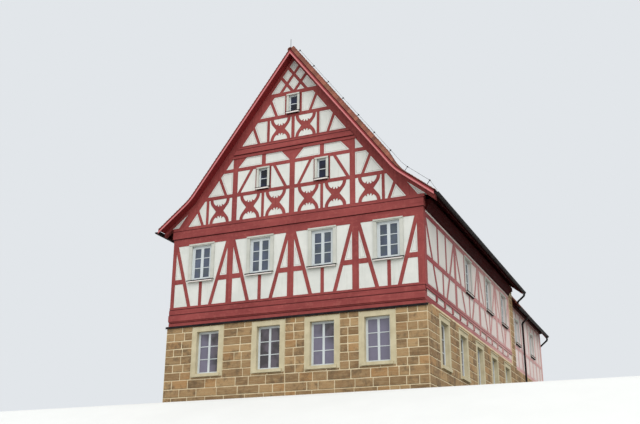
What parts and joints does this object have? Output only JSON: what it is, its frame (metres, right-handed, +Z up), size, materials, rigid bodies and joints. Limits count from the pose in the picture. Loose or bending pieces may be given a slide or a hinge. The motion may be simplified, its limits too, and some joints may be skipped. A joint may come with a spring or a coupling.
{
  "type": "half timbered house",
  "caption": "Half timbered house: stone ground storey, jettied timber storey, steep tiled roof over two attics behind a gable with curved crosses, and a lower wing.",
  "frame": {"origin": "middle of the plan at ground level", "axes": "+X to the right of the front gable, +Y from the front gable to the wing, +Z up"},
  "size_m": [12.48, 24.29, 15.23],
  "materials": {
    "timber": "matt wine red paint",
    "wing_timber": "faded wine red paint",
    "plaster": "lime plaster",
    "stone": "dressed sandstone",
    "surround": "smooth sandstone",
    "window_frame": "white paint",
    "window_glass": "clear",
    "door": "dark paint",
    "floor": "boards",
    "tile": "fired clay",
    "gutter": "dark zinc"
  },
  "bodies": {
    "root": {"ground_floor": "floor", "front_stone_wall": "stone", "right_stone_wall": "stone", "left_stone_wall": "stone", "rear_stone_wall": "stone", "stone_surrounds": "surround", "ground_windows": "window_frame", "entrance_door": "door", "front_jetty_beams": "timber", "side_jetty_beams": "timber", "upper_floor": "floor", "front_frame": "timber", "front_infill": "plaster", "right_frame": "timber", "right_infill": "plaster", "left_frame": "timber", "left_infill": "plaster", "upper_windows": "window_frame", "tie_beams": "timber", "attic_floor": "floor", "attic_frame": "timber", "attic_infill": "plaster", "attic_beam": "timber", "top_floor": "floor", "top_frame": "timber", "top_infill": "plaster", "apex_lattice": "timber", "apex_infill": "plaster", "gable_rafters": "timber", "attic_windows": "window_frame", "window_glass": "window_glass", "roof_right": "tile", "roof_left": "tile", "ridge_tiles": "tile", "bargeboards": "timber", "eaves_cornices": "timber", "rafter_feet": "timber", "gutters": "gutter", "downpipes": "gutter", "wing_floors": "floor", "wing_side_walls": "stone", "wing_rear_wall": "stone", "wing_side_frames": "wing_timber", "wing_side_infill": "plaster", "wing_gable_frame": "wing_timber", "wing_gable_infill": "plaster", "wing_windows": "window_frame", "wing_roof_right": "tile", "wing_roof_left": "tile", "lightning_rod": "gutter"}
  },
  "joints": []
}
